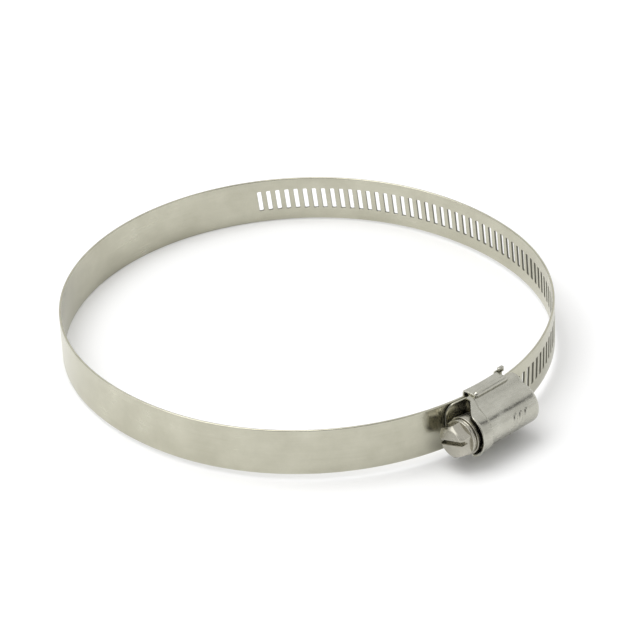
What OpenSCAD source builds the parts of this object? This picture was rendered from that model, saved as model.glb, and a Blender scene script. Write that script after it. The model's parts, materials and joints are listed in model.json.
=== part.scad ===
// Worm-drive hose clamp: one perforated band strip, a saddle, a pressed housing and a screw.
// Frame: Z runs along the hose, the origin is the centre of the round far half of the loop,
// and the housing is at -Y with its screw head towards -X. The clamp is shown near its
// widest setting. The strip is cut into rigid arcs on fine hinges, which stand in for its flex.

/* [Band] */
// Width of the strip, along the hose
band_w = 12.7; // [8:0.1:16]
// Thickness of the strip
band_t = 0.6; // [0.4:0.05:0.8]
// Inner radius of the round far half of the loop
bore_r = 61.8; // [45:0.1:80]
// How far the loop is drawn out towards the housing, to the nearest slot
loop_draw = 5.5; // [4:0.5:8]
// Length of each slot across the strip
slot_l = 6; // [4:0.1:8]
// Width of each slot along the strip
slot_w = 1.2; // [0.8:0.05:1.4]
// Number of slots in the far arc, which end the slotted stretch
far_slots = 19; // [10:1:24]
// Number of slots from the middle of the housing to the tip
slots_tail = 3; // [3:1:4]
// Distance of the tip from the middle of the housing
tip_reach = 12.9; // [12.5:0.1:20]
// Radius of the tip's corners
tip_corner = 3.2; // [2:0.1:5]
// Turns of the screw that the travel takes
turns = 20; // [10:1:22]

/* [Screw] */
// Advance of the band for each turn, and the distance from slot to slot
pitch = 2.54; // [2.3:0.01:2.8]
// Outer radius of the thread
worm_r = 4.6; // [4.2:0.1:6.5]
// Height of the thread over its core
thread_h = 0.9; // [0.6:0.05:1.2]
// Depth that the thread reaches into the strip
mesh_depth = 0.45; // [0.3:0.05:0.6]
// Width of the thread at its crest
crest_w = 0.55; // [0.4:0.05:0.7]
// Length of the threaded part
worm_l = 13.2; // [11:0.1:15]
// Width of the hexagon across its flats
hex_af = 7.94; // [6:0.01:9]
// Length of the hexagon
hex_l = 3.2; // [2:0.1:6]
// Width of the driver slot
driver_slot_w = 1.1; // [0.8:0.1:1.6]
// Depth of the driver slot
driver_slot_d = 1.6; // [1:0.1:2.4]
// Radius of the thrust collar at its front
collar_r = 5; // [4.6:0.05:6.2]
// Length of the thrust collar
collar_l = 4.4; // [3:0.1:5]

/* [Housing] */
// Thickness of the housing's sheet
shell_t = 0.55; // [0.5:0.05:0.9]
// Length of the barrel, from its rim to the start of its domed end
barrel_l = 19.6; // [17:0.1:24]
// Depth of the wide pocket behind the rim
pocket_l = 3.6; // [3:0.1:5]
// Distance of the rim from the middle of the housing
rim_x = 11.3; // [10:0.1:14]
// Depth of the domed end
dome_l = 1.6; // [1:0.1:3]
// How far the rim is cut back on the band's side
rim_back = 3.8; // [0:0.1:5]

/* [Saddle] */
// Thickness of the saddle's sheet
saddle_t = 0.55; // [0.5:0.05:0.9]
// Half length of the saddle's side plates
saddle_half = 5.8; // [4.5:0.1:8]
// Height of the side plates over the saddle's floor
side_h = 3.8; // [3:0.1:6]
// Length of the stop ears at the back of the saddle
ear_l = 1.8; // [1:0.1:3]

/* [Clearances] */
// Gap between the two layers of the strip, and between the strip and the saddle
layer_gap = 0.25; // [0.16:0.01:0.35]
// Gap beside the strip's edges
edge_gap = 0.15; // [0.1:0.01:0.3]
// Running gap round the screw
screw_gap = 0.25; // [0.2:0.01:0.5]
// Gap in each flex hinge
hinge_gap = 0.02; // [0.01:0.005:0.04]

/* [Hidden] */
$fn = 96;

steel = [0.80, 0.80, 0.78];
dull = [0.72, 0.72, 0.70];
bright = [0.86, 0.85, 0.82];

// The loop's middle line is made of arcs that meet in line: a near arc on the tail's side, about
// tail_c, a flatter side arc, the far arc about the origin, a second side arc, and a near arc on
// the fixed end's side, about fixed_c, one layer further in.
function deg(length, radius) = length / radius * 180 / PI;
mid_r = bore_r + band_t / 2;
layer_step = band_t + layer_gap;
near_slots = floor(mid_r * PI * 76 / 180 / pitch) + 0.5;
side_a = 90 - deg(near_slots * pitch, mid_r);
side_turn = 2 * side_a * PI / 180;
side_slots = round((side_turn * mid_r + loop_draw) / pitch);
stretch = (side_slots * pitch - side_turn * mid_r) * sin(side_a) / (side_turn / 2);
side_r = mid_r + stretch / 2 / sin(side_a);
left_a = 14;
left_r = mid_r + (stretch - layer_step) / 2 / sin(left_a);
tail_c = [0, -stretch];
side_c = [(mid_r - side_r) * cos(side_a), -stretch / 2];
left_c = [(left_r - mid_r) * cos(left_a), -(stretch - layer_step) / 2];
fixed_c = [0, -stretch + layer_step];
floor_c = [0, -stretch + 2 * layer_step];

// Each row is one rigid arc: centre, radius, and the angles of its outward normal at its ends.
// The hinges between arcs lie in the land between two slots, or in the plain strip.
tail_slots = turns + ceil((saddle_half + 2.2) / pitch) + 0.5;
tail_a = -90 + deg(tail_slots * pitch, mid_r);
tip_a = -90 - deg(tip_reach, mid_r);
slotted_a = side_a + deg(far_slots * pitch, mid_r);
plain_step = (180 - left_a - slotted_a) / 3;
held_l = saddle_half + 2.8;
fixed_a = 270 - deg(held_l, mid_r);
fixed_step = (fixed_a - 180 - left_a) / 2;
ARCS = [
    [tail_c, mid_r, tip_a, tail_a],
    [tail_c, mid_r, tail_a, -side_a],
    [side_c, side_r, -side_a, side_a],
    [[0, 0], mid_r, side_a, slotted_a],
    [[0, 0], mid_r, slotted_a, slotted_a + plain_step],
    [[0, 0], mid_r, slotted_a + plain_step, slotted_a + 2 * plain_step],
    [[0, 0], mid_r, slotted_a + 2 * plain_step, 180 - left_a],
    [left_c, left_r, 180 - left_a, 180 + left_a],
    [fixed_c, mid_r, 180 + left_a, 180 + left_a + fixed_step],
    [fixed_c, mid_r, 180 + left_a + fixed_step, fixed_a],
    [fixed_c, mid_r, fixed_a, 270 + deg(saddle_half - 1.2, mid_r)]];
// The first and last slot in each slotted arc, counted from the middle of the housing.
SLOTS = [
    [-slots_tail, tail_slots - 0.5],
    [tail_slots + 0.5, near_slots - 0.5],
    [near_slots + 0.5, near_slots + side_slots - 0.5],
    [near_slots + side_slots + 0.5, near_slots + side_slots + far_slots - 0.5]];
// Hinge details
nose_r = band_t / 2 - 0.05;
relief = 0.06;
// Slot count from the middle of the housing to the start of each slotted arc
STARTS = [0, tail_slots, near_slots, near_slots + side_slots];

// Housing and screw places.
tail_out = stretch + bore_r + band_t;
axis_y = -(tail_out + worm_r - mesh_depth);
core_r = worm_r - thread_h;
helix = atan(pitch / (2 * PI * (worm_r - mesh_depth / 2)));
inner_r = worm_r + screw_gap;
pocket_r = collar_r + 0.5;
skirt_in = band_w / 2 + edge_gap;
skirt_out = skirt_in + shell_t;
saddle_in = skirt_out + 0.05;
saddle_out = saddle_in + saddle_t;
collar_x = -(rim_x - pocket_l) - 0.15;
neck_l = 0.7;
flange_l = 0.6;
flange_r = hex_af / 2 + 0.75;
tip_clear = 0.12;
// The collar narrows towards the worm, because the tail curves in under it.
collar_back = axis_gap(collar_x) - 0.15;
collar_front = min(collar_r, axis_gap(collar_x - collar_l) - 0.15);

// Distance from the screw's axis to the outside of the tail at a place along the screw.
function axis_gap(x) = -axis_y - stretch - sqrt((bore_r + band_t) * (bore_r + band_t) - x * x);

// Puts a shape that stands along Z onto the screw's axis, with its Y still towards the band.
module along_screw(x) {
    translate([x, axis_y, 0]) rotate([0, 90, 0]) children();
}

// A strip of width w bent about centre c, between two radii and two angles.
module bent(c, a0, a1, r_in, r_out, w) {
    translate([c[0], c[1], -w / 2])
        rotate([0, 0, a0])
            rotate_extrude(angle = a1 - a0, $fn = 360)
                translate([r_in, 0]) square([r_out - r_in, w]);
}

// One arc of the band with square ends.
module strip(i, a0, a1) {
    bent(ARCS[i][0], a0, a1, ARCS[i][1] - band_t / 2, ARCS[i][1] + band_t / 2, band_w);
}

// Puts children on the middle line of arc i at normal angle a, with X pointing outwards.
module on_arc(i, a) {
    translate([ARCS[i][0][0], ARCS[i][0][1], 0])
        rotate([0, 0, a])
            translate([ARCS[i][1], 0, 0]) children();
}

module slots(i) {
    start_a = i == 0 ? -90 : ARCS[i][2];
    for (k = [SLOTS[i][0]:SLOTS[i][1]])
        on_arc(i, start_a + deg((k - STARTS[i]) * pitch, ARCS[i][1]))
            rotate([-helix, 0, 0]) cube([4 * band_t, slot_w, slot_l], center = true);
}

// A hinge has a round nose on the arc before it and a cup in the arc after it. The strip with
// the nose stops short of the hinge's axis by relief, so that its corners clear as it bends.
module nose(i) {
    on_arc(i, ARCS[i][3]) cylinder(h = band_w, r = nose_r, center = true);
}

module cup(i) {
    on_arc(i, ARCS[i][2]) cylinder(h = band_w + 1, r = nose_r + hinge_gap, center = true);
}

module band_arc(i) {
    color(steel)
    difference() {
        union() {
            strip(i, ARCS[i][2], ARCS[i][3] - deg(relief, ARCS[i][1]));
            nose(i);
        }
        cup(i);
        if (i < len(SLOTS)) slots(i);
    }
}

// The slotted tail: through the housing, with rounded corners at its tip.
module band_tail() {
    corner_a = tip_a + deg(tip_corner - 0.1, mid_r);
    corner_z = band_w / 2 + 0.05 - tip_corner;
    color(steel)
    difference() {
        union() {
            strip(0, tip_a, tail_a - deg(relief, mid_r));
            nose(0);
        }
        for (side = [-1, 1])
            on_arc(0, corner_a)
                difference() {
                    translate([-2, -tip_corner - 1, side > 0 ? corner_z : -corner_z - 2 * tip_corner])
                        cube([4, tip_corner + 1, 2 * tip_corner]);
                    translate([0, 0, side * corner_z]) rotate([0, 90, 0])
                        cylinder(h = 6, r = tip_corner, center = true);
                }
        slots(0);
    }
}

// The plain end, which lies under the tail and is held in the saddle.
module band_fixed_end() {
    color(steel)
    difference() {
        strip(10, ARCS[10][2], ARCS[10][3]);
        cup(10);
    }
}

// The saddle: a floor curved like the loop, two side plates with rolled edges, and two ears.
module saddle() {
    floor_out = mid_r + band_t / 2;
    half_a = deg(saddle_half, floor_out);
    ear_x = saddle_half + 0.3;
    floor_y = floor_c[1] - floor_out;
    color(dull) {
        bent(floor_c, -90 - half_a, -90 + deg(ear_x + ear_l, floor_out), floor_out - saddle_t,
             floor_out, 2 * saddle_out);
        for (side = [-1, 1]) {
            translate([-saddle_half, floor_y - side_h + saddle_t, side > 0 ? saddle_in : -saddle_out])
                cube([2 * saddle_half, side_h, saddle_t]);
            translate([-saddle_half, floor_y - side_h + saddle_t, side * (saddle_out - 0.1)])
                rotate([0, 90, 0]) cylinder(h = 2 * saddle_half, r = 0.45);
            translate([ear_x, floor_y - 0.4, side > 0 ? saddle_in : -saddle_out - 0.9])
                cube([ear_l, saddle_t + 0.4, saddle_t + 0.9]);
        }
    }
}

// Section of the housing across the screw: an arch over the worm, on two straight skirts.
module arch(r, half, shoulder, foot) {
    circle(r = r);
    polygon([[-r, 0], [-half, shoulder], [-half, foot], [half, foot], [half, shoulder], [r, 0]]);
}

module housing() {
    band_v = worm_r - mesh_depth;
    foot_v = band_v + band_t + 0.1;
    short_v = band_v - 0.35;
    barrel_end = barrel_l - rim_x;
    shoulder_x = -(rim_x - pocket_l);
    color(dull)
    difference() {
        union() {
            along_screw(-rim_x) linear_extrude(height = pocket_l + shell_t)
                arch(pocket_r + shell_t, skirt_out, 1.8, short_v);
            along_screw(shoulder_x) linear_extrude(height = barrel_end - shoulder_x)
                arch(inner_r + shell_t, skirt_out, 2.2, short_v);
            along_screw(-saddle_half + 0.2) linear_extrude(height = 2 * saddle_half - 0.4)
                arch(inner_r + shell_t, skirt_out, 2.2, foot_v);
            intersection() {
                along_screw(barrel_end) scale_dome();
                along_screw(barrel_end - 1) linear_extrude(height = 10)
                    arch(inner_r + shell_t, skirt_out, 2.2, short_v);
            }
        }
        along_screw(-rim_x - 1) cylinder(h = pocket_l + 1, r = pocket_r);
        along_screw(-rim_x - 1) cylinder(h = barrel_l + 1, r = inner_r);
        along_screw(-rim_x - 1) linear_extrude(height = barrel_l + 1)
            polygon([[-inner_r, 0], [-skirt_in, 2.5], [-skirt_in, foot_v + 5],
                     [skirt_in, foot_v + 5], [skirt_in, 2.5], [inner_r, 0]]);
        along_screw(-rim_x - 1) linear_extrude(height = pocket_l + 1)
            translate([-pocket_r, 0]) square([2 * pocket_r, short_v]);
        // The rim is cut back towards the band, in front of the saddle.
        translate([-rim_x, axis_y - 1, -pocket_r - 5])
            rotate([0, 0, atan2(short_v + 1, rim_back)])
                cube([4 * short_v, 4 * short_v, 2 * pocket_r + 10]);
        // The closed end stays clear of the tail.
        along_screw(barrel_end - 0.05) linear_extrude(height = dome_l + 1)
            translate([-skirt_out - 1, short_v - 0.1]) square([2 * skirt_out + 2, 6]);
    }
}

// The closed end of the barrel: a shallow dome, turned about the screw's axis.
module scale_dome() {
    r = skirt_out + 0.4;
    sphere_r = (r * r + dome_l * dome_l) / (2 * dome_l);
    rotate_extrude()
        intersection() {
            translate([0, dome_l - sphere_r]) circle(r = sphere_r, $fn = 360);
            translate([0, -0.01]) square([r, dome_l + 1]);
        }
}

// A point of the thread, by its turn from the band's side, its radius and its place.
function thread_point(a, r, x) = [-r * sin(a), r * cos(a), x];

// Right-hand thread as a swept trapezoid that starts and ends at a turn angle.
module thread(turns) {
    steps = 36;
    root_w = crest_w + 0.5;
    sink = 0.2;
    rings = [for (i = [0:turns * steps])
        let (a = i * 360 / steps - turns * 180, x = pitch * a / 360)
        [thread_point(a, core_r - sink, x - root_w / 2),
         thread_point(a, worm_r, x - crest_w / 2),
         thread_point(a, worm_r, x + crest_w / 2),
         thread_point(a, core_r - sink, x + root_w / 2)]];
    n = len(rings);
    points = [for (ring = rings) for (p = ring) p];
    walls = [for (i = [0:n - 2]) for (j = [0:3])
        [4 * i + j, 4 * i + (j + 1) % 4, 4 * (i + 1) + (j + 1) % 4, 4 * (i + 1) + j]];
    ends = [[3, 2, 1, 0], [4 * n - 4, 4 * n - 3, 4 * n - 2, 4 * n - 1]];
    polyhedron(points = points, faces = concat(ends, walls), convexity = 10);
}

module screw() {
    flange_x = collar_x - collar_l - neck_l;
    hex_x = flange_x - flange_l;
    hex_r = hex_af / 2 / cos(30);
    tip_x = barrel_l - rim_x - tip_clear;
    color(bright) {
        // worm
        difference() {
            union() {
                along_screw(collar_x - 0.5) cylinder(h = tip_x - collar_x + 0.5 - 0.8, r = core_r);
                along_screw(tip_x - 0.8) cylinder(h = 0.8, r1 = core_r, r2 = core_r - 0.8);
                along_screw(0) thread((worm_l - crest_w) / pitch);
            }
        }
        // collar, neck and flange
        along_screw(collar_x - collar_l)
            cylinder(h = collar_l, r1 = collar_front, r2 = collar_back);
        along_screw(flange_x - 0.01) cylinder(h = neck_l + 0.02, r = flange_r - 0.5);
        along_screw(hex_x) cylinder(h = flange_l, r = flange_r);
        // slotted hexagon with a chamfered face
        difference() {
            intersection() {
                along_screw(hex_x - hex_l) cylinder(h = hex_l + 0.01, r = hex_r, $fn = 6);
                along_screw(hex_x - hex_l) cylinder(h = hex_l + 2, r1 = hex_af / 2 - 0.1,
                                                    r2 = hex_af / 2 - 0.1 + (hex_l + 2) * 1.2);
            }
            translate([hex_x - hex_l, axis_y, 0]) rotate([-17, 0, 0])
                cube([2 * driver_slot_d, 3 * hex_af, driver_slot_w], center = true);
        }
    }
}

band_tail();
band_arc(1);  // band_arc_1
band_arc(2);  // band_arc_2
band_arc(3);  // band_arc_3
band_arc(4);  // band_arc_4
band_arc(5);  // band_arc_5
band_arc(6);  // band_arc_6
band_arc(7);  // band_arc_7
band_arc(8);  // band_arc_8
band_arc(9);  // band_arc_9
band_fixed_end();
saddle();
housing();
screw();
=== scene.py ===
"""Worm-drive hose clamp: a perforated steel band, a saddle, a pressed housing and a screw."""
import json
import math

import bpy
import numpy as np
from bpy.props import FloatProperty, FloatVectorProperty, PointerProperty
from mathutils import Matrix, Vector


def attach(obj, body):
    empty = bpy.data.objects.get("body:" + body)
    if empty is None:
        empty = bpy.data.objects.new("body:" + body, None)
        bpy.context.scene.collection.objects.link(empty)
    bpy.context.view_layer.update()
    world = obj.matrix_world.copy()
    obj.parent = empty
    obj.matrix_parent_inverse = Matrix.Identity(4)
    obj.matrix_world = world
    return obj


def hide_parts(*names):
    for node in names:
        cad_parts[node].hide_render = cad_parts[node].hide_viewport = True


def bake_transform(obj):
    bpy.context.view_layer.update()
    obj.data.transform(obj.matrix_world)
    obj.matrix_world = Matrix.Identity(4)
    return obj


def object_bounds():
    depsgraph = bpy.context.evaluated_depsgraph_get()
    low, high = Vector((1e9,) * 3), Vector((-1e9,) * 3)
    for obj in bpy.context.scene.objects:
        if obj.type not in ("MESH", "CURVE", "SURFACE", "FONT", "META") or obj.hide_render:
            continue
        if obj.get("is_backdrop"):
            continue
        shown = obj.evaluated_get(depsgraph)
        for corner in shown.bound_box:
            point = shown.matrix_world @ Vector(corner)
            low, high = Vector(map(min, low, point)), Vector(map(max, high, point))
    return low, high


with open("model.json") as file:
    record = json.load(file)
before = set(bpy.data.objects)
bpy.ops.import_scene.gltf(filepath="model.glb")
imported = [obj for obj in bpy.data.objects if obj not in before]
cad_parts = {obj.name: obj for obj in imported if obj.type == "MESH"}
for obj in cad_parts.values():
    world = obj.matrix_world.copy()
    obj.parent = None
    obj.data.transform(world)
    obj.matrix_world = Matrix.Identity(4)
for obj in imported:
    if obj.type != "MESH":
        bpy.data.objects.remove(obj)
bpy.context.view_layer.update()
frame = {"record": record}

bl_info = {
    "name": "Hose clamp",
    "version": (1, 0, 0),
    "blender": (4, 5, 0),
    "location": "View3D > Sidebar > Hose clamp",
    "description": "Builds a worm-drive hose clamp round its packed frame",
    "category": "Object",
}

MM = 0.001
MOUNTS = {mount["name"]: mount for mount in frame["record"]["mounts"]}
BORE = MOUNTS["hose_bore"]["dims"]
JOINTS = {joint["name"]: joint for joint in frame["record"]["behaviour"]["joints"]}
AXIS_Y = JOINTS["screw_spin"]["pos_m"][1] / MM
DRAWN_OUT = -JOINTS["tail_travel"]["pos_m"][1] / MM
ARC_BODIES = ["band_tail"] + [f"band_arc_{i}" for i in range(1, 10)] + ["band_fixed_end"]

BAND_T = 0.6            # thickness of the strip, mm
NEAR_ANGLE = 76         # degrees of the round stretch from the housing to the flatter side
LEFT_ANGLE = 14         # degrees, half of the arc opposite the flatter side
TAIL_SLOTS = 3          # slots from the middle of the housing to the tip
FAR_SLOTS = 19          # slots past the flatter side
MESH_R = 4.375          # radius at which a slot's slant follows the worm's helix, mm
CREASE = 35             # degrees between faces above which an edge stays sharp
SLIVER = 0.02           # a very short first and last step keeps the shading the same across a joint
LONG, SHORT, QUARTER = 10, 6, 4     # points along a cell's sides, and round a quarter of an edge


# ---------------------------------------------------------------- sizes and colours

def length(name, default, description):
    """A length in millimetres for the sidebar."""
    return FloatProperty(name=name, description=description, default=default, min=0.0)


def colour(name, default, description):
    """A colour for the sidebar."""
    return FloatVectorProperty(name=name, description=description, default=default, subtype="COLOR")


class BandSizes(bpy.types.PropertyGroup):
    """Sizes of the perforated band, in millimetres."""

    width: length("Width", BORE["length_mm"], "Width of the strip along the hose")
    thick: length("Thickness", BAND_T, "Thickness of the strip")
    bore: length("Bore radius", BORE["r_mm"], "Inner radius of the round far half")
    pitch: length("Slot pitch", 2.54, "Distance from slot to slot")
    slot_l: length("Slot length", 6.0, "Length of a slot across the strip")
    slot_w: length("Slot width", 1.2, "Width of a slot along the strip")
    slot_corner: length("Slot corner", 0.3, "Radius of a slot's corners")
    slot_break: length("Slot edge", 0.07, "Width of the broken edge round a slot")
    edge: length("Edge radius", 0.22, "Radius of the strip's rolled edges")
    layer_gap: length("Layer gap", 0.25, "Gap between the two layers of the strip")
    tip_reach: length("Tip", 12.9, "Distance of the tip from the middle of the housing")
    tip_corner: length("Tip corner", 3.2, "Radius of the tip's corners")
    end_reach: length("Fixed end", 4.6, "Distance of the hidden end past the middle")


class HousingSizes(bpy.types.PropertyGroup):
    """Sizes of the pressed housing and its saddle, in millimetres."""

    sheet: length("Sheet", 0.55, "Thickness of the sheet")
    rim: length("Rim place", 11.3, "Distance of the rim from the middle")
    rim_r: length("Rim radius", 6.05, "Outer radius of the pocket behind the rim")
    pocket: length("Pocket", 3.6, "Depth of the wide pocket")
    barrel: length("Barrel", 19.6, "Length from the rim to the closed end")
    barrel_r: length("Barrel radius", 5.4, "Outer radius over the worm")
    half_w: length("Half width", 7.05, "Half width over the skirts")
    dome: length("Dome", 1.6, "Depth of the domed end")
    stamp: length("Pressed bars", 0.22, "Height of the plain bars pressed on the barrel")
    curl: length("Curl", 0.22, "How far the rim curls outwards")
    rim_back: length("Rim cut", 3.8, "How far the rim is cut back on the band's side")
    saddle_half: length("Saddle", 5.8, "Half length of the saddle")
    side_h: length("Side plates", 3.8, "Height of the saddle's side plates")
    roll_r: length("Rolled edge", 0.85, "Radius of the rolled edge of a side plate")


class ScrewSizes(bpy.types.PropertyGroup):
    """Sizes of the screw, in millimetres."""

    worm_r: length("Worm radius", 4.6, "Outer radius of the thread")
    thread_h: length("Thread height", 0.9, "Height of the thread over its core")
    crest: length("Crest", 0.55, "Width of the thread's crest")
    worm_l: length("Worm length", 13.2, "Length of the threaded part")
    collar_front: length("Collar front", 5.0, "Radius of the collar at its front")
    collar_back: length("Collar back", 4.49, "Radius of the collar at the worm")
    collar_x: length("Collar place", 7.85, "Distance of the collar's back from the middle")
    collar_l: length("Collar length", 4.4, "Length of the collar")
    neck_l: length("Neck", 0.7, "Length of the groove in front of the collar")
    flange_l: length("Flange length", 0.6, "Length of the flange under the hexagon")
    flange_r: length("Flange radius", 4.72, "Radius of the flange under the hexagon")
    hex_af: length("Across flats", 7.94, "Width of the hexagon across its flats")
    hex_l: length("Hexagon", 3.2, "Length of the hexagon")
    slot_w: length("Driver slot", 1.1, "Width of the driver slot")
    slot_d: length("Driver slot depth", 1.6, "Depth of the driver slot")


class Finish(bpy.types.PropertyGroup):
    """Colours of the steel and the stage."""

    band: colour("Band", (0.53, 0.52, 0.43), "Rolled stainless strip")
    pressed: colour("Pressings", (0.53, 0.525, 0.465), "Pressed stainless sheet")
    screw: colour("Screw", (0.49, 0.475, 0.415), "Headed and turned steel")
    floor: colour("Floor", (0.9, 0.9, 0.9), "Pale floor")


# ---------------------------------------------------------------- surfaces

def put(name, points, quads, body, slot, material, uv=None, sheared=None):
    """Puts one closed surface into a mesh. Points are millimetres in the clamp's frame. Points
    that coincide are merged, and a quad that has lost a corner becomes a triangle. The cut-wall
    attribute is 1 on the walls that a punch has cut, where the strip's material paints shade."""
    key = np.round(points if uv is None else uv, 4)
    _, first, back = np.unique(key, axis=0, return_index=True, return_inverse=True)
    quads = back.reshape(-1)[quads]
    faces = []
    same = quads == np.roll(quads, -1, axis=1)
    faces += quads[~same.any(axis=1)].tolist()
    for row, lost in zip(quads[same.sum(axis=1) == 1], same[same.sum(axis=1) == 1]):
        faces.append(row[~lost].tolist())
    mesh = bpy.data.meshes.new(name)
    mesh.from_pydata((points[first] * MM).tolist(), [], faces)
    if uv is not None:
        corner = np.empty(len(mesh.loops), np.int32)
        mesh.loops.foreach_get("vertex_index", corner)
        layer = mesh.uv_layers.new(name="strip")
        layer.data.foreach_set("uv", (uv[first][corner, :2] * MM).astype(np.float32).ravel())
    if sheared is not None:
        cut = mesh.attributes.new("sheared", "FLOAT", "POINT")
        cut.data.foreach_set("value", sheared[first].astype(np.float32))
    mesh.validate()
    mesh.shade_smooth()
    mesh.set_sharp_from_angle(angle=math.radians(CREASE))
    mesh.materials.append(material)
    piece = bpy.data.objects.new(name, mesh)
    bpy.context.scene.collection.objects.link(piece)
    if body:
        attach(piece, body)
    return piece


def grid(rows, columns, start=0, closed=False):
    """Quads of a grid of points numbered row by row, its columns joined up if it is closed."""
    i = np.arange(rows - 1)[:, None] * columns
    j = np.arange(columns if closed else columns - 1)[None, :]
    k = (j + 1) % columns
    quads = np.stack([i + j, i + columns + j, i + columns + k, i + k], axis=-1)
    return (start + quads).reshape(-1, 4)


def join(parts):
    """Stacks surfaces given as (points, quads) into one."""
    points, quads, count = [], [], 0
    for p, q in parts:
        points.append(p)
        quads.append(q + count)
        count += len(p)
    return np.concatenate(points), np.concatenate(quads)


def mirrored(part):
    """The same surface on the other side of the band's middle plane, its faces turned round."""
    points, quads = part
    return points * np.array([1, 1, -1]), quads[:, ::-1]


def smooth(x):
    """Smoothstep of x clipped to 0 and 1."""
    x = np.clip(x, 0, 1)
    return x * x * (3 - 2 * x)


# ---------------------------------------------------------------- the band

class MiddleLine:
    """The loop's middle line: arcs that meet in line, measured in millimetres along the strip
    from the middle of the housing towards the tail's own side."""

    def __init__(self, b):
        mid = b.bore + b.thick / 2
        step = b.thick + b.layer_gap
        near = math.floor(mid * math.pi * NEAR_ANGLE / 180 / b.pitch) + 0.5
        side = math.pi / 2 - near * b.pitch / mid
        side_r = mid + DRAWN_OUT / 2 / math.sin(side)
        side_slots = round(2 * side * side_r / b.pitch)
        left = math.radians(LEFT_ANGLE)
        left_r = mid + (DRAWN_OUT - step) / 2 / math.sin(left)
        self.slots = (-TAIL_SLOTS, int(near + side_slots + FAR_SLOTS - 0.5))
        self.mid = mid
        tail = (0, -DRAWN_OUT)
        flat_side = ((mid - side_r) * math.cos(side), -DRAWN_OUT / 2)
        flat_left = ((left_r - mid) * math.cos(left), -(DRAWN_OUT - step) / 2)
        fixed = (0, -DRAWN_OUT + step)
        rows = [
            (tail, mid, -math.pi / 2 - b.tip_reach / mid, -side),
            (flat_side, side_r, -side, side),
            ((0, 0), mid, side, math.pi - left),
            (flat_left, left_r, math.pi - left, math.pi + left),
            (fixed, mid, math.pi + left, 1.5 * math.pi + b.end_reach / mid),
        ]
        self.centre = np.array([row[0] for row in rows], float)
        self.radius = np.array([row[1] for row in rows])
        self.angle = np.array([row[2] for row in rows])
        lengths = np.array([(row[3] - row[2]) * row[1] for row in rows])
        self.start = np.concatenate([[0], np.cumsum(lengths)[:-1]]) - b.tip_reach
        self.end = self.start[-1] + lengths[-1]

    def pivot(self, number):
        """Place of flex hinge 1 to 10, in millimetres."""
        return np.array(JOINTS[f"band_flex_{number}"]["pos_m"][:2]) / MM

    def place(self, along, across, out):
        """centre + (radius + out) * (cos a, sin a), where a = first angle + along / radius."""
        i = np.clip(np.searchsorted(self.start, along, side="right") - 1, 0, None)
        a = self.angle[i] + (along - self.start[i]) / self.radius[i]
        r = self.radius[i] + out
        x, y = self.centre[i, 0] + r * np.cos(a), self.centre[i, 1] + r * np.sin(a)
        return np.stack([x, y, across], axis=-1)

    def along(self, point):
        """The distance along the middle line of the point on it nearest to this one."""
        s = np.linspace(self.start[0], self.end, 20001)
        d = self.place(s, 0 * s, 0 * s)[:, :2] - point
        # the tail lies over the fixed end, so the later of two near points is the hinge
        return s[len(s) - 1 - np.argmin(np.hypot(*d.T)[::-1])]


def section(b):
    """One closed section of the strip: places across and out, over the outer face and back under
    the inner one, with each edge rounded by quarter circles."""
    turn = np.linspace(0, math.pi / 2, QUARTER)
    flat = b.width / 2 - b.edge
    edge_z = flat + b.edge * np.sin(turn)
    edge_h = b.thick / 2 - b.edge + b.edge * np.cos(turn)
    face = np.linspace(-flat, flat, LONG + 1)[1:-1]
    z = np.concatenate([-edge_z[::-1], face, edge_z])
    h = np.concatenate([edge_h[::-1], np.full(len(face), b.thick / 2), edge_h])
    return np.concatenate([z, z[::-1]]), np.concatenate([h, -h[::-1]])


def slot_outline(half_w, half_l, corner, tilt):
    """A rounded rectangle, turned by tilt, as one ring of points that starts at a corner's middle
    and runs up the long side, over the short side and back."""
    def side(centre, other, first, steps):
        turn = np.radians(first + np.array([-45, -22.5, 0]))
        one = centre + corner * np.stack([np.cos(turn), np.sin(turn)], axis=-1)
        turn = np.radians(first + np.array([0, 22.5]))
        two = other + corner * np.stack([np.cos(turn), np.sin(turn)], axis=-1)
        part = np.linspace(0, 1, steps - 3)[1:-1, None]
        return np.concatenate([one, one[-1] * (1 - part) + two[0] * part, two])
    w, l = half_w - corner, half_l - corner
    c = np.array([[w, -l], [w, l], [-w, l], [-w, -l]])
    ring = np.concatenate([side(c[0], c[1], 0, LONG), side(c[1], c[2], 90, SHORT),
                           side(c[2], c[3], 180, LONG), side(c[3], c[0], 270, SHORT)])
    s, z = ring.T
    return np.stack([s * math.cos(tilt) + z * math.sin(tilt),
                     z * math.cos(tilt) - s * math.sin(tilt)], axis=-1)


def cell_border(half_s, half_z):
    """The rectangle of one slot's cell, with as many points on each side as the slot has."""
    up = np.linspace(-1, 1, LONG + 1)[:-1]
    over = np.linspace(1, -1, SHORT + 1)[:-1]
    return np.concatenate([
        np.stack([np.full(LONG, half_s), up * half_z], axis=-1),
        np.stack([over * half_s, np.full(SHORT, half_z)], axis=-1),
        np.stack([np.full(LONG, -half_s), -up * half_z], axis=-1),
        np.stack([-over * half_s, np.full(SHORT, -half_z)], axis=-1)])


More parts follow.
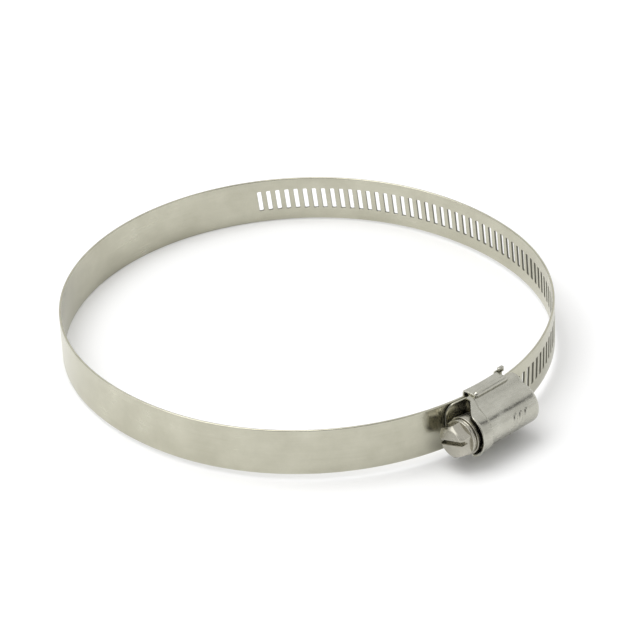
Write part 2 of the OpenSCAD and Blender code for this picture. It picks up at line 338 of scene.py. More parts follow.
def slot_cells(b, centres, low, high):
    """The strip round each slot: rings from the slot's edge to the border of its cell on both
    faces, the slot's wall between them, and the strip's two edges. Borders are kept between low
    and high, so that a cell ends where its piece does."""
    tilt = math.atan(b.pitch / (2 * math.pi * MESH_R))
    hole = slot_outline(b.slot_w / 2, b.slot_l / 2, b.slot_corner, tilt)
    broken = slot_outline(b.slot_w / 2 + b.slot_break, b.slot_l / 2 + b.slot_break,
                          b.slot_corner + b.slot_break, tilt)
    border = cell_border(b.pitch / 2, b.width / 2 - b.edge)
    rings = [hole, broken, broken * 0.6 + border * 0.4, border]
    heights = [b.thick / 2 - b.slot_break] + [b.thick / 2] * 3
    n = len(border)
    upper = np.concatenate([np.column_stack([r, np.full(n, h)]) for r, h in zip(rings, heights)])
    lower = upper * np.array([1, 1, -1])
    quads = grid(4, n, closed=True)
    wall = np.arange(n)
    wall = np.stack([wall, (wall + 1) % n, (wall + 1) % n + 4 * n, wall + 4 * n], axis=-1)
    z, h = section(b)
    m = len(z) // 2
    over = np.arange(m - QUARTER, m + QUARTER)
    under = np.concatenate([np.arange(2 * m - QUARTER, 2 * m), np.arange(QUARTER)])
    steps = np.linspace(-b.pitch / 2, b.pitch / 2, SHORT + 1)
    faces = np.concatenate([quads, quads[:, ::-1] + 4 * n, wall])
    parts = [(np.concatenate([upper, lower]), faces)]
    for columns in (over, under):
        s, c = np.meshgrid(steps, columns, indexing="ij")
        edge = np.stack([s, z[c], h[c]], axis=-1).reshape(-1, 3)
        parts.append((edge, grid(SHORT + 1, len(columns))))
    points, quads = join(parts)
    every = points[None] + np.array(centres)[:, None, None] * np.array([1, 0, 0])
    every[..., 0] = np.clip(every[..., 0], low, high)
    shift = np.arange(len(centres))[:, None, None] * len(points)
    return every.reshape(-1, 3), (quads[None] + shift).reshape(-1, 4)


def plain_strip(b, stations, narrow=None, thin=None):
    """The closed section carried along the strip through these stations, its width and thickness
    scaled by narrow and thin."""
    z, h = section(b)
    ones = np.ones(len(stations))
    narrow = ones if narrow is None else narrow
    thin = ones if thin is None else thin
    s = np.repeat(stations, len(z))
    points = np.column_stack([s, np.outer(narrow, z).ravel(), np.outer(thin, h).ravel()])
    return points, grid(len(stations), len(z), closed=True)


def end_cap(b, s, far, narrow=1.0, thin=1.0):
    """The flat end of the strip at s, which faces along the strip if it is the far one."""
    z, h = section(b)
    n = len(z)
    j = np.arange(n // 2 - 1)
    quads = np.stack([j, j + 1, n - 2 - j, n - 1 - j], axis=-1)
    return np.column_stack([np.full(n, s), z * narrow, h * thin]), quads[:, ::-1] if far else quads


def band_piece(name, line, b, first, last, material, body=None):
    """The strip from first to last: cells where it is slotted, and the section carried along
    where it is plain. The tail's tip narrows with round corners: its half width at distance d
    from the end is half - corner + sqrt(corner^2 - (corner - d)^2)."""
    parts = []
    if first <= line.start[0] + 1e-6:
        d = np.array([0, 0.03, 0.1, 0.22, 0.4, 0.7, 1.1, 1.6, 2.2, 2.7, b.tip_corner])
        half = b.width / 2 - b.tip_corner + np.sqrt(b.tip_corner ** 2 - (b.tip_corner - d) ** 2)
        thin = np.clip(0.45 + np.array([0, 0.3, 0.48]), 0, 1)
        thin = np.concatenate([thin, np.ones(len(d) - 3)])
        parts += [plain_strip(b, first + d, half / (b.width / 2), thin),
                  end_cap(b, first, False, half[0] / (b.width / 2), thin[0])]
        start = first + b.tip_corner
    else:
        parts += [plain_strip(b, np.array([first, first + SLIVER])), end_cap(b, first, False)]
        start = first + SLIVER
    stop = last - SLIVER
    parts += [plain_strip(b, np.array([stop, last])), end_cap(b, last, True)]
    slots = np.arange(line.slots[0], line.slots[1] + 1)
    inside = slots[(slots + 0.5) * b.pitch > first + 0.01]
    inside = inside[(inside - 0.5) * b.pitch < last - 0.01]
    if len(inside):
        parts.append(slot_cells(b, inside * b.pitch, start, stop))
        spans = [(start, (inside[0] - 0.5) * b.pitch), ((inside[-1] + 0.5) * b.pitch, stop)]
    else:
        spans = [(start, stop)]
    for low, high in spans:
        if high - low > 0.01:
            steps = max(1, round((high - low) / 1.2))
            parts.append(plain_strip(b, np.linspace(low, high, steps + 1)))
    strip, quads = join(parts)
    points = line.place(*strip.T)
    inner = np.abs(strip[:, 1]) < b.width / 2 - b.edge - 0.01
    # marks the slots' cut walls, where the strip's material paints shade as a dark colour and makes
    # the surface duller
    sheared = inner & (np.abs(strip[:, 2]) < b.thick / 2 - 0.01)
    return put(name, points, quads, body, "band_steel", material, uv=strip, sheared=sheared)


# ---------------------------------------------------------------- housing and saddle

def arch(r, half, shoulder, foot, soften=3):
    """Half section of the housing across the screw, from a foot to the top: a straight skirt, a
    slanting shoulder and a quarter circle, with the corners softened by averaging neighbours.
    The other half is its mirror image. Returns places across and towards the band."""
    skirt = np.column_stack([np.full(9, half), np.linspace(foot, shoulder, 9)])
    slope = np.column_stack([np.linspace(half, r, 7), np.linspace(shoulder, 0, 7)])
    turn = np.linspace(0, math.pi / 2, 41)
    top = np.column_stack([r * np.cos(turn), -r * np.sin(turn)])
    path = np.concatenate([skirt, slope[1:], top[1:]])
    whole = np.concatenate([path, path[-2::-1] * np.array([-1, 1])])
    for _ in range(soften):
        whole[1:-1] = (whole[:-2] + 2 * whole[1:-1] + whole[2:]) / 4
    return whole


def outward(path):
    """Unit normals of a section that runs from its right foot over the top to its left."""
    d = np.gradient(path, axis=0)
    n = np.column_stack([-d[:, 1], d[:, 0]])
    return n / np.linalg.norm(n, axis=1, keepdims=True)


def housing_shell(h):
    """The pressed housing as one bent sheet. Rows run from the closed end forward along the
    outside, round the lip, and back along the inside; each row is the arch at that place, moved
    in by the sheet where it is inside. At the closed end the arch shrinks to a point."""
    back = h.barrel - h.rim
    band_v = -AXIS_Y - DRAWN_OUT - BORE["r_mm"] - BAND_T    # the strip's outer face
    short, deep = band_v - 0.35, band_v + 0.7               # feet outside and inside the saddle
    lip = h.sheet / 2
    flank = h.saddle_half - 0.2
    step_l, step_lead = 0.9, 0.35                           # length of the step behind the pocket
    curl_l = 0.9                                            # length of the curl at the rim
    shoulder, drop = 2.2, 0.4                               # where the skirt turns into the slope
    cut_from, cut_span = 2.6, 5.6                           # height over which the rim is cut back
    bar_pitch, bar_half, bar_slope = 1.9, 0.66, 0.36        # bars pressed on the barrel
    bar_x, bar_up, bar_lean = 2.4, 0.8, 0.25
    field_half, bar_reach, bar_end = 2.8, 1.7, 0.4

    def radius(x):
        past = smooth((x + h.rim - h.pocket + step_lead) / step_l)
        return h.barrel_r + (h.rim_r - h.barrel_r) * (1 - past)

    def stamp(x, path):
        """Height of a plain row of slanting bars pressed up on the barrel."""
        round_it = np.arctan2(path[:, 0], -path[:, 1]) * h.barrel_r
        up = round_it - bar_up
        slant = x - bar_x - bar_lean * up
        bar = np.abs((slant / bar_pitch + 0.5) % 1 - 0.5) * bar_pitch
        on = smooth((bar_half - bar) / bar_slope) * (np.abs(slant) < field_half)
        return h.stamp * on * smooth((bar_reach - np.abs(up)) / bar_end) * (path[:, 1] < 0)

    def row(x, scale, inset):
        wide = (radius(x) - h.barrel_r) / (h.rim_r - h.barrel_r)
        foot = deep if abs(x) < flank else short
        curl = h.curl * np.clip(1 - (x + h.rim) / curl_l, 0, 1) ** 2
        path = arch(radius(x), h.half_w, shoulder - wide * drop, foot)
        raised = stamp(x, path) if inset == 0 else np.zeros(len(path))
        path = path - outward(path) * (inset - curl - raised)[:, None]
        path[0, 1] = path[-1, 1] = foot
        centre = np.array([0, short])
        path = centre + (path - centre) * scale
        share = np.clip((-flank - x) / (h.rim - flank), 0, 1)
        cut = h.rim_back * share * smooth((path[:, 1] + cut_from) / cut_span)
        return np.column_stack([x + cut, AXIS_Y + path[:, 1], path[:, 0]])

    stations = np.unique(np.concatenate([
        np.linspace(-h.rim + lip, back, 100),
        [-flank - 0.001, -flank + 0.001, flank - 0.001, flank + 0.001],
        -h.rim + h.pocket + np.linspace(-0.4, 0.6, 9)]))[::-1]
    turn = np.linspace(0, math.pi / 2, 9)
    cap_r = h.dome - 0.35
    cap = [(back + cap_r * math.sin(t), 1 - cap_r * (1 - math.cos(t)) / (h.barrel_r + 3), 0)
           for t in turn[1:]]
    flat = cap[-1][1]
    disc = [(back + cap_r + 0.35 * (1 - k * k), flat * k, 0) for k in (0.8, 0.6, 0.4, 0.2, 0.0)]
    outside = (cap + disc)[::-1] + [(x, 1, 0) for x in stations]
    inner_back = back - 0.05
    inside = [(x, 1, h.sheet) for x in stations[::-1] if x < inner_back - 0.3]
    missing = len(outside) - len(inside)
    shrink = np.linspace(1, 0, missing)
    inside += [(inner_back + 0.1 * (1 - k), k, h.sheet) for k in shrink]
    lips = [(-h.rim + lip - lip * math.sin(t), 1, lip - lip * math.cos(t))
            for t in np.linspace(0, math.pi, 9)[1:-1]]
    rows = [row(*r) for r in outside + lips + inside]
    n = len(rows[0])
    points = np.concatenate(rows)
    quads = grid(len(rows), n)
    i = np.arange((len(rows) + 1) // 2)
    other = len(rows) - 1 - i
    feet = []
    for c in (0, n - 1):
        f = np.stack([i[:-1], i[1:], other[1:], other[:-1]], axis=-1) * n + c
        feet.append(f if c else f[:, ::-1])
    return points, np.concatenate([quads] + feet)


def bead(points, radii):
    """A round bar along straight stations (x, y, z) with its own radius at each, closed where the
    radius is nothing: centre + radius * (cos, sin) across the x axis."""
    turn = np.linspace(0, 2 * math.pi, 24, endpoint=False)
    points, radii = np.array(points, float), np.array(radii, float)
    ring = np.column_stack([0 * turn, np.cos(turn), np.sin(turn)])
    every = points[:, None] + radii[:, None, None] * ring[None]
    return every.reshape(-1, 3), grid(len(points), len(turn), closed=True)[:, ::-1]


def soft_box(low, high, r):
    """A box with rounded edges: centre + sign(d) * half * min(1, 8 |d|) + r * d, for each
    direction d of a sphere."""
    rows, columns = 18, 32
    u = np.linspace(-math.pi / 2, math.pi / 2, rows)
    v = np.linspace(0, 2 * math.pi, columns, endpoint=False) + 0.02
    u, v = np.meshgrid(u, v, indexing="ij")
    d = np.stack([np.cos(u) * np.cos(v), np.cos(u) * np.sin(v), np.sin(u)], axis=-1)
    low, high = np.array(low, float), np.array(high, float)
    centre, half = (low + high) / 2, (high - low) / 2 - r
    points = centre + np.sign(d) * half * np.minimum(1, np.abs(d) * 8) + d * r
    return points.reshape(-1, 3), grid(rows, columns, closed=True)[:, ::-1]


def saddle_sheet(h, b):
    """A sheet bent to a U: its closed section, round the outside and back inside with rounded
    ends, is carried along the screw; the floor follows the band's curve and the free ends of the
    sheet thin out to rounded edges."""
    t = h.sheet
    step = b.thick + b.layer_gap
    floor_r = b.bore + b.thick
    inner_z = h.half_w + 0.05
    mid_z = inner_z + t / 2
    floor_v = -DRAWN_OUT + 2 * step - floor_r + t / 2
    top_v = floor_v - t / 2 - h.side_h + t
    bend = 0.8
    turn = np.linspace(0, math.pi / 2, 9)
    side = np.column_stack([np.full(12, mid_z), np.linspace(top_v, floor_v - bend, 12)])
    corner = np.column_stack([mid_z - bend + bend * np.cos(turn),
                              floor_v - bend + bend * np.sin(turn)])
    floor = np.column_stack([np.linspace(mid_z - bend, 0, 10), np.full(10, floor_v)])
    path = np.concatenate([side, corner[1:], floor[1:]])
    path = np.concatenate([path, path[-2::-1] * np.array([-1, 1])])
    d = np.gradient(path, axis=0)
    normal = np.column_stack([d[:, 1], -d[:, 0]]) / np.linalg.norm(d, axis=1, keepdims=True)
    rounds = 0.2
    x = np.concatenate([[0, 0.03, 0.1, 0.2], np.linspace(0.8, 2 * h.saddle_half - 0.8, 12),
                        2 * h.saddle_half - np.array([0.2, 0.1, 0.03, 0])]) - h.saddle_half
    near_end = np.clip((rounds - (h.saddle_half - np.abs(x))) / rounds, 0, 1)
    thin = 1 - (2 * rounds / t) * (1 - np.sqrt(1 - near_end ** 2))
    sag = floor_r - np.sqrt(floor_r ** 2 - x ** 2)
    weight = smooth((path[:, 1] - top_v) / (floor_v - top_v))
    rows = []
    for xi, ti, si in zip(x, thin, sag):
        outer = path + normal * (t / 2 * ti)
        inner = (path - normal * (t / 2 * ti))[::-1]
        loop = np.concatenate([outer, inner])
        drop = np.concatenate([weight, weight[::-1]]) * si
        rows.append(np.column_stack([np.full(len(loop), xi), loop[:, 1] + drop, loop[:, 0]]))
    n = len(rows[0])
    points = np.concatenate(rows)
    quads = grid(len(rows), n, closed=True)
    j = np.arange(n // 2 - 1)
    cap = np.stack([j, j + 1, n - 2 - j, n - 1 - j], axis=-1)
    last = (len(rows) - 1) * n
    return (points, np.concatenate([quads, cap, cap[:, ::-1] + last])), top_v, floor_v, mid_z


# ---------------------------------------------------------------- the screw

def turned(profile, steps=96):
    """A profile of (place along the screw, radius), which runs from the back to the front, turned
    about the screw's axis."""
    x, r = np.array(profile, float).T
    turn = np.linspace(0, 2 * math.pi, steps, endpoint=False)
    points = np.stack([np.repeat(x[:, None], steps, 1), AXIS_Y + r[:, None] * np.cos(turn),
                       r[:, None] * np.sin(turn)], axis=-1)
    return points.reshape(-1, 3), grid(len(x), steps, closed=True)


def rounded_profile(corners, r, steps=5):
    """A profile through these corners with each inner corner cut by a curve of radius r: the
    middle of a corner is pulled by a quadratic curve between the points r before and after it."""
    c = np.array(corners, float)
    out = [c[:1]]
    for a, b, d in zip(c[:-2], c[1:-1], c[2:]):
        ra = min(r, np.linalg.norm(a - b) * 0.45)
        rd = min(r, np.linalg.norm(d - b) * 0.45)
        p, q = b + (a - b) / np.linalg.norm(a - b) * ra, b + (d - b) / np.linalg.norm(d - b) * rd
        t = np.linspace(0, 1, steps)[:, None]
        out.append((1 - t) ** 2 * p + 2 * t * (1 - t) * b + t ** 2 * q)
    return np.concatenate(out + [c[-1:]])


def worm(s, pitch, tip):
    """The threaded body: radius = core + height * ramp(distance to the nearest crest), where the
    crests stand at pitch * turn / (2 pi) + whole pitches, fading out past the worm's ends."""
    rows, columns = 190, 120
    foot, flank = 0.32, 0.34        # where the thread's flank ends beside its crest, and its width
    x = np.linspace(-s.collar_x + 0.3, tip, rows)
    turn = np.linspace(0, 2 * math.pi, columns, endpoint=False)
    x, turn = np.meshgrid(x, turn, indexing="ij")
    off = np.abs((x / pitch - turn / (2 * math.pi) + 0.5) % 1 - 0.5) * pitch
    ramp = smooth((s.crest / 2 + foot - off) / flank)
    ends = smooth((s.worm_l / 2 - np.abs(x)) / 0.5 + 0.5)
    core = s.worm_r - s.thread_h
    r = core + s.thread_h * ramp * ends
    r = r - np.clip(x - tip + 0.8, 0, None)
    r[0], r[-1] = 0.0, 0.0
    points = np.stack([x, AXIS_Y + r * np.cos(turn), r * np.sin(turn)], axis=-1)
    return points.reshape(-1, 3), grid(rows, columns, closed=True)[:, ::-1]


def hexagon(s, base_x):
    """The slotted hexagon: a grid whose rows run along the driver slot and end on the hexagon's
    sides. The face is set back by a cone over the corners and by the slot between its walls, and
    straight sides join it to a flat back."""
    lean = math.radians(17)
    corner_r = s.hex_af / 2 / math.cos(math.pi / 6)
    corner_a = np.radians(60) * np.arange(6)
    across = corner_r * np.cos(corner_a - lean)
    along = corner_r * np.sin(corner_a - lean)
    w = s.slot_w / 2
    wall, bevel, depth = 0.004, 0.12, 0.08      # the slot's walls and its broken edges
    cone_in, cone_slope, sunk = 0.45, 0.7, 0.2  # the cone over the corners, and the hidden back
    p = np.unique(np.concatenate([
        across, np.linspace(across.min(), across.max(), 41),
        [-w - bevel, -w, -w + wall, w - wall, w, w + bevel]]).round(6))
    off = np.abs(np.abs(p) - w)
    p = p[(off > 0.11) | (off < wall * 1.5)]    # no row falls between a wall and its bevel's edge
    ring = np.append(np.arange(6), 0)
    low, high = np.full(len(p), 9.0), np.full(len(p), -9.0)
    for i, j in zip(ring[:-1], ring[1:]):
        a0, a1, q0, q1 = across[i], across[j], along[i], along[j]
        t = (p - a0) / (a1 - a0)
        on = (t > -1e-6) & (t < 1 + 1e-6)
        q = q0 + t * (q1 - q0)
        low = np.where(on, np.minimum(low, q), low)
        high = np.where(on, np.maximum(high, q), high)
    share = np.linspace(-1, 1, 61)
    q = (low + high)[:, None] / 2 + (high - low)[:, None] / 2 * share
    pp = np.repeat(p[:, None], len(share), 1)
    rho = np.hypot(pp, q)
    set_back = np.clip((rho - s.hex_af / 2 + cone_in) * cone_slope, 0, None)
    set_back = set_back + np.where(np.abs(pp) < w - wall / 2, s.slot_d, 0)
    edge = np.clip((w + bevel - np.abs(pp)) / bevel, 0, 1) * depth
    set_back = set_back + np.where(np.abs(pp) >= w - wall / 2, edge, 0)
    y = pp * math.sin(lean) + q * math.cos(lean)
    z = pp * math.cos(lean) - q * math.sin(lean)
    front = np.stack([base_x - s.hex_l + set_back, AXIS_Y + y, z], axis=-1).reshape(-1, 3)
    rear = np.stack([0 * y + base_x + sunk, AXIS_Y + y, z], axis=-1).reshape(-1, 3)
    rows, columns = pp.shape
    quads = grid(rows, columns)
    number = np.arange(rows * columns).reshape(rows, columns)
    loop = np.concatenate([number[0], number[1:, -1], number[-1, -2::-1], number[-2:0:-1, 0]])
    nxt = np.roll(loop, -1)
    n = rows * columns
    sides = np.stack([loop, loop + n, nxt + n, nxt], axis=-1)
    faces = np.concatenate([quads, quads[:, ::-1] + n, sides[:, ::-1]])
    return np.concatenate([front, rear]), faces


# ---------------------------------------------------------------- finishes

class Shade:
    """One socket of a material. Operators on it add Math nodes, and node() adds any other."""

    def __init__(self, tree, socket=None):
        self.tree, self.socket = tree, socket

    def node(self, kind, settings=None, inputs=None, output=0):
        """Adds a node, sets its settings (a ramp's stops too), then its sockets."""
        made = self.tree.nodes.new(kind)
        for key, value in (settings or {}).items():
            if key == "stops":
                ramp = made.color_ramp
                for extra in value[2:]:
                    ramp.elements.new(extra[0])
                for element, (place, grey) in zip(ramp.elements, sorted(value)):
                    element.position = place
                    element.color = (grey, grey, grey, 1)
            else:
                setattr(made, key, value)
        for key, value in (inputs or {}).items():
            if isinstance(value, Shade):
                self.tree.links.new(value.socket, made.inputs[key])
            elif value is not None:
                made.inputs[key].default_value = value
        return Shade(self.tree, made.outputs[output])

    def math(self, operation, a, b):
        return self.node("ShaderNodeMath", {"operation": operation}, {0: a, 1: b})

    def __add__(self, other):
        return self.math("ADD", self, other)

    def __radd__(self, other):
        return self.math("ADD", other, self)

    def __sub__(self, other):
        return self.math("SUBTRACT", self, other)

    def __rsub__(self, other):
        return self.math("SUBTRACT", other, self)

    def __mul__(self, other):
        return self.math("MULTIPLY", self, other)

    def __rmul__(self, other):
        return self.math("MULTIPLY", other, self)

    def mix(self, a, b):
        """The colour a where this is 0 and b where it is 1."""
        return self.node("ShaderNodeMix", {"data_type": "RGBA"}, {0: self, 6: a, 7: b}, 2)


def steel(name, colour, rough, grain, coordinates="object", mottle=0.06, fine=1.0):
    """Satin steel: the colour is mottled a little warm and dark, fine grain lines vary the
    roughness and the surface, and broad patches change the polish. On the strip, the walls that a
    punch has cut are duller, and painted shade darkens their colour so the slots look shaded."""
    material = bpy.data.materials.new(name)
    material.use_nodes = True
    tree = material.node_tree
    shader = tree.nodes["Principled BSDF"]
    root = Shade(tree)
    if coordinates == "strip":
        where = root.node("ShaderNodeUVMap", {"uv_map": "strip"})
    else:
        where = root.node("ShaderNodeTexCoord", output=3)
    stretched = root.node("ShaderNodeMapping", inputs={0: where, "Scale": grain})

    def noise(vector, scale, detail, roughness=None):
        return root.node("ShaderNodeTexNoise", inputs={
            "Vector": vector, "Scale": scale, "Detail": detail, "Roughness": roughness})

    lines = noise(stretched, 1.0, 4.0, 0.6)
    cloud = noise(where, 90.0, 5.0, 0.62)
    broad = noise(where, 28.0, 2.0)
    specks = noise(where, 1500.0, 2.0)
    patch = cloud.node("ShaderNodeValToRGB", {"stops": [(0.35, 0.0), (0.7, 1.0)]}, {0: cloud})
    dark = tuple(c * (1 - 2.2 * mottle) * w for c, w in zip(colour, (1.0, 0.985, 0.95))) + (1,)
    pale = tuple(min(1.0, c * (1 + mottle)) for c in colour) + (1,)
    tint = (patch * 0.55 + lines * 0.45).mix(dark, pale)
    polish = rough + (lines - 0.5) * (0.16 * fine) + (broad - 0.5) * 0.12 + (patch - 0.5) * 0.05
    if coordinates == "strip":
        sheared = root.node("ShaderNodeAttribute", {"attribute_name": "sheared"}, output=2)
        # painted shade: the slots' cut walls are darkened to 0.3 of the colour so the slots look
        # shaded; the added roughness is the cut surface's own dull finish
        tint = sheared.mix(tint, tuple(c * 0.3 for c in colour) + (1,))
        polish = polish + sheared * 0.25
    tree.links.new(tint.socket, shader.inputs["Base Color"])
    tree.links.new(polish.socket, shader.inputs["Roughness"])
    relief = lines * 0.6 + specks * 0.15 + cloud * 0.5
    bump = relief.node("ShaderNodeBump", inputs={
        "Strength": 0.10 * fine, "Distance": 0.00008, "Height": relief})
    tree.links.new(bump.socket, shader.inputs["Normal"])
    shader.inputs["Metallic"].default_value = 1.0
    return material


def finish_of(kind):
    """The material of one kind of steel, made the first time it is asked for."""
    if kind in bpy.data.materials:
        return bpy.data.materials[kind]
    colours = bpy.context.scene.clamp_finish
    if kind == "rolled strip":
        return steel(kind, colours.band, 0.24, (60.0, 2600.0, 1.0), "strip", mottle=0.1)
    if kind == "pressed sheet":
        grain = (500.0, 1500.0, 1500.0)
        return steel(kind, colours.pressed, 0.25, grain, mottle=0.16, fine=2.6)
    return steel(kind, colours.screw, 0.26, (2600.0, 260.0, 260.0), mottle=0.14, fine=2.4)


# ---------------------------------------------------------------- operators

class CLAMP_OT_band(bpy.types.Operator):
    """Builds the band: the tail, ten stretches, each round a hinge, and the fixed end"""

    bl_idname = "clamp.band"
    bl_label = "Band"

    def execute(self, context):
        b = context.scene.clamp_band
        line = MiddleLine(b)
        material = finish_of("rolled strip")
        hinges = [line.along(line.pivot(k)) for k in range(1, 11)]
        cuts = [hinges[0] - 3 * b.pitch]
        for a, c in zip(hinges[:-1], hinges[1:]):
            middle = (a + c) / 2
            if middle < (line.slots[1] + 0.5) * b.pitch:
                middle = (math.floor(middle / b.pitch) + 0.5) * b.pitch
            cuts.append(middle)
        cuts.append(hinges[9] + 2.6)
        tail = band_piece("band_tail_strip", line, b, line.start[0], cuts[0], material, "band_tail")
        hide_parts("band_tail")
        for k in range(10):
            strip = band_piece(f"band_strip_{k + 1}", line, b, cuts[k], cuts[k + 1], material)
            reach = min(hinges[k] - cuts[k], cuts[k + 1] - hinges[k]) - 0.1
            ends = [line.place(np.array([hinges[k] + d]), np.zeros(1), np.zeros(1))[0]
                    for d in (-0.01, 0.01)]
            heading = (ends[1] - ends[0]) / np.linalg.norm(ends[1] - ends[0]) * reach
            pivot = np.append(line.pivot(k + 1), 0)
            tuple((pivot - heading) * MM)
            tuple((pivot + heading) * MM)
            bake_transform(strip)
            if k < 9:
                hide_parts(ARC_BODIES[k + 1])
        held = band_piece("band_end_strip", line, b, cuts[10], line.end, material, "band_fixed_end")
        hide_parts("band_fixed_end")
        return {"FINISHED"}


class CLAMP_OT_housing(bpy.types.Operator):
    """Builds the pressed housing over the worm"""

    bl_idname = "clamp.housing"
    bl_label = "Housing"

    def execute(self, context):
        h = context.scene.clamp_housing
        points, quads = housing_shell(h)
        shell = put("housing_shell", points, quads, "root", "pressed_steel",
                    finish_of("pressed sheet"))
        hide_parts("housing")
        return {"FINISHED"}


class CLAMP_OT_saddle(bpy.types.Operator):
    """Builds the saddle with its rolled edges and stop ears"""

    bl_idname = "clamp.saddle"
    bl_label = "Saddle"

    def execute(self, context):
        h, b = context.scene.clamp_housing, context.scene.clamp_band
        sheet, top, floor, z = saddle_sheet(h, b)
        r, half = h.roll_r, h.saddle_half
        x = np.array([0, 0.06, 0.2, 0.45, r])
        along = np.concatenate([x - half, x[::-1] * -1 + half])
        swell = np.concatenate([np.sqrt(x * (2 * r - x)), np.sqrt(x * (2 * r - x))[::-1]])
        out_z = z + h.sheet / 2 - 0.25
        roll = bead([(a, top, out_z) for a in along], np.minimum(swell, r))
        ear = soft_box((half + 0.3, floor - h.sheet / 2 - 0.4, z - h.sheet / 2),
                       (half + 2.1, floor + h.sheet / 2, z + h.sheet / 2 + 0.9), 0.3)
        tongue = soft_box((half - 0.6, floor - h.sheet / 2 + 0.35, -z - h.sheet / 2),
                          (half + 2.1, floor + h.sheet / 2 + 0.35, z + h.sheet / 2), 0.25)
        points, quads = join([sheet, roll, mirrored(roll), ear, mirrored(ear), tongue])
        saddle = put("saddle_sheet", points, quads, "root", "pressed_steel",
                     finish_of("pressed sheet"))
        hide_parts("saddle")
        return {"FINISHED"}


class CLAMP_OT_screw(bpy.types.Operator):
    """Builds the screw: worm, thrust collar, flange and slotted hexagon"""

    bl_idname = "clamp.screw"
    bl_label = "Screw"

    def execute(self, context):
        scene = context.scene
        s, h, b = scene.clamp_screw, scene.clamp_housing, scene.clamp_band
        material = finish_of("headed steel")
        tip = h.barrel - h.rim - 0.12
        body = put("screw_worm", *worm(s, b.pitch, tip), "screw", "screw_steel", material)
        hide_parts("screw")
        back, front = -s.collar_x, -s.collar_x - s.collar_l
        flange = front - s.neck_l
        profile = rounded_profile([
            (back, 0), (back, s.collar_back), (front, s.collar_front), (front, s.flange_r - 0.4),
            (flange, s.flange_r - 0.5), (flange, s.flange_r), (flange - s.flange_l, s.flange_r),
            (flange - s.flange_l, 0)], 0.14)
        put("screw_collar", *turned(profile), "screw", "screw_steel", material)
        put("screw_hexagon", *hexagon(s, flange - s.flange_l), "screw", "screw_steel", material)
        return {"FINISHED"}


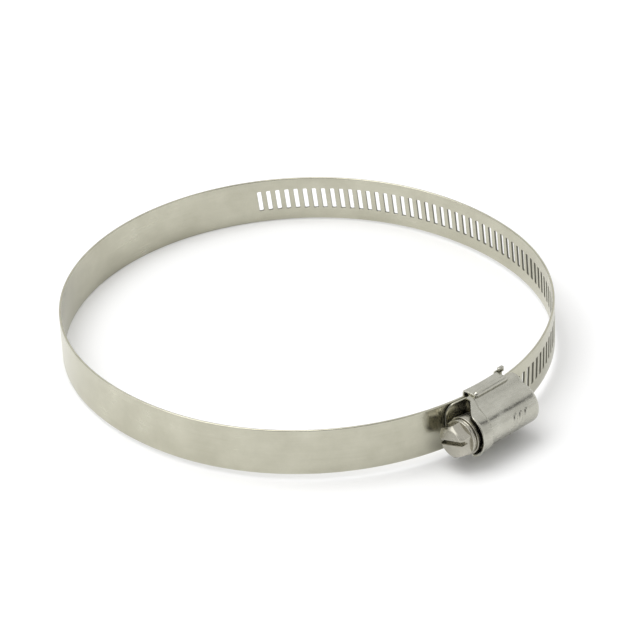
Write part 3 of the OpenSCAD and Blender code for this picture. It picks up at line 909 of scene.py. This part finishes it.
class CLAMP_OT_stage(bpy.types.Operator):
    """Builds the pale floor, the soft studio light and the camera"""

    bl_idname = "clamp.stage"
    bl_label = "Stage"

    def execute(self, context):
        scene = context.scene
        low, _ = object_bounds()
        mesh = bpy.data.meshes.new("floor")
        size = 6.0
        corners = [(-size, -size, 0), (size, -size, 0), (size, size, 0), (-size, size, 0)]
        mesh.from_pydata(corners, [], [(0, 1, 2, 3)])
        material = bpy.data.materials.new("pale floor")
        material.use_nodes = True
        shader = material.node_tree.nodes["Principled BSDF"]
        shader.inputs["Base Color"].default_value = (*scene.clamp_finish.floor, 1)
        shader.inputs["Roughness"].default_value = 0.6
        mesh.materials.append(material)
        floor = bpy.data.objects.new("floor", mesh)
        scene.collection.objects.link(floor)
        # the floor touches the housing at the front and the band's lower edge at the back
        rest = Vector((0, -0.068, low.z - 0.0001))
        tilt = math.atan((-BORE["length_mm"] / 2 * MM - rest.z) / (BORE["r_mm"] * MM - rest.y))
        floor.matrix_world = Matrix.Translation(rest) @ Matrix.Rotation(tilt, 4, "X")
        floor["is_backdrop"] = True

        def lamp(name, place, aim, size, power):
            light = bpy.data.lights.new(name, "AREA")
            light.shape, light.energy = "RECTANGLE", power
            light.size, light.size_y = size
            holder = bpy.data.objects.new(name, light)
            holder.location = place
            heading = Vector(aim) - Vector(place)
            holder.rotation_euler = heading.to_track_quat("-Z", "Y").to_euler()
            scene.collection.objects.link(holder)

        black = bpy.data.materials.new("black cloth")
        black.use_nodes = True
        cloth = black.node_tree.nodes["Principled BSDF"]
        cloth.inputs["Base Color"].default_value = (0.01, 0.01, 0.01, 1)

        def dark_card(name, half_w, low, high, heading, distance, height, lean):
            mesh = bpy.data.meshes.new(name)
            corners = [(-half_w, low, 0), (half_w, low, 0), (half_w, high, 0), (-half_w, high, 0)]
            mesh.from_pydata(corners, [], [(0, 1, 2, 3)])
            mesh.materials.append(black)
            card = bpy.data.objects.new(name, mesh)
            scene.collection.objects.link(card)
            side = Matrix.Rotation(math.radians(heading), 4, "Z")
            card.matrix_world = (side @ Matrix.Translation((0, -distance, height))
                                 @ Matrix.Rotation(math.radians(lean), 4, "X"))
            card.visible_camera = card.visible_shadow = False
            card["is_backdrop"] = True

        dark_card("dark card", 0.9, -0.2, 0.75, -35, 1.35, 0.25, 80)
        dark_card("side card", 0.3, -0.08, 0.10, 47, 0.9, 0.62, 55)

        lamp("overhead", (-0.25, 0.15, 1.0), (0, 0, 0), (0.8, 0.8), 5.5)
        lamp("window", (-0.9, 0.35, 0.6), (0, 0, 0), (0.8, 0.8), 2.4)
        world = bpy.data.worlds.new("studio")
        world.use_nodes = True
        background = world.node_tree.nodes["Background"]
        background.inputs[0].default_value = (1, 1, 1, 1)
        background.inputs[1].default_value = 0.91
        scene.world = world

        heading, elevation, roll = -41.7, 31.2, -3.0
        turn = Matrix.Rotation(math.radians(heading), 3, "Z")
        turn = turn @ Matrix.Rotation(math.radians(90 - elevation), 3, "X")
        turn = turn @ Matrix.Rotation(math.radians(roll), 3, "Z")
        camera = bpy.data.cameras.new("camera")
        camera.lens, camera.sensor_width = 183.43, 36
        camera.clip_start, camera.clip_end = 0.05, 20
        eye = bpy.data.objects.new("camera", camera)
        scene.collection.objects.link(eye)
        place = turn @ Vector((5.27, -1.71, 850.9)) * MM
        eye.matrix_world = Matrix.Translation(place) @ turn.to_4x4()
        scene.camera = eye
        scene.view_settings.view_transform = "Standard"
        return {"FINISHED"}


class CLAMP_PT_sidebar(bpy.types.Panel):
    """Lists the sizes, the colours and the pieces"""

    bl_label = "Hose clamp"
    bl_idname = "CLAMP_PT_sidebar"
    bl_space_type = "VIEW_3D"
    bl_region_type = "UI"
    bl_category = "Hose clamp"

    def draw(self, context):
        for name in GROUPS:
            group = getattr(context.scene, name)
            box = self.layout.box()
            for key in group.__annotations__:
                box.prop(group, key)
        for operator in OPERATORS:
            self.layout.operator(operator.bl_idname)


OPERATORS = (CLAMP_OT_band, CLAMP_OT_housing, CLAMP_OT_saddle, CLAMP_OT_screw, CLAMP_OT_stage)
GROUPS = {
    "clamp_band": BandSizes,
    "clamp_housing": HousingSizes,
    "clamp_screw": ScrewSizes,
    "clamp_finish": Finish,
}


def register():
    for cls in (*GROUPS.values(), *OPERATORS, CLAMP_PT_sidebar):
        bpy.utils.register_class(cls)
    for name, group in GROUPS.items():
        setattr(bpy.types.Scene, name, PointerProperty(type=group))


def unregister():
    for name in GROUPS:
        delattr(bpy.types.Scene, name)
    for cls in reversed((*GROUPS.values(), *OPERATORS, CLAMP_PT_sidebar)):
        bpy.utils.unregister_class(cls)


def main():
    register()
    bpy.ops.clamp.band()
    bpy.ops.clamp.housing()
    bpy.ops.clamp.saddle()
    bpy.ops.clamp.screw()
    bpy.ops.clamp.stage()


if __name__ == "__main__":
    main()
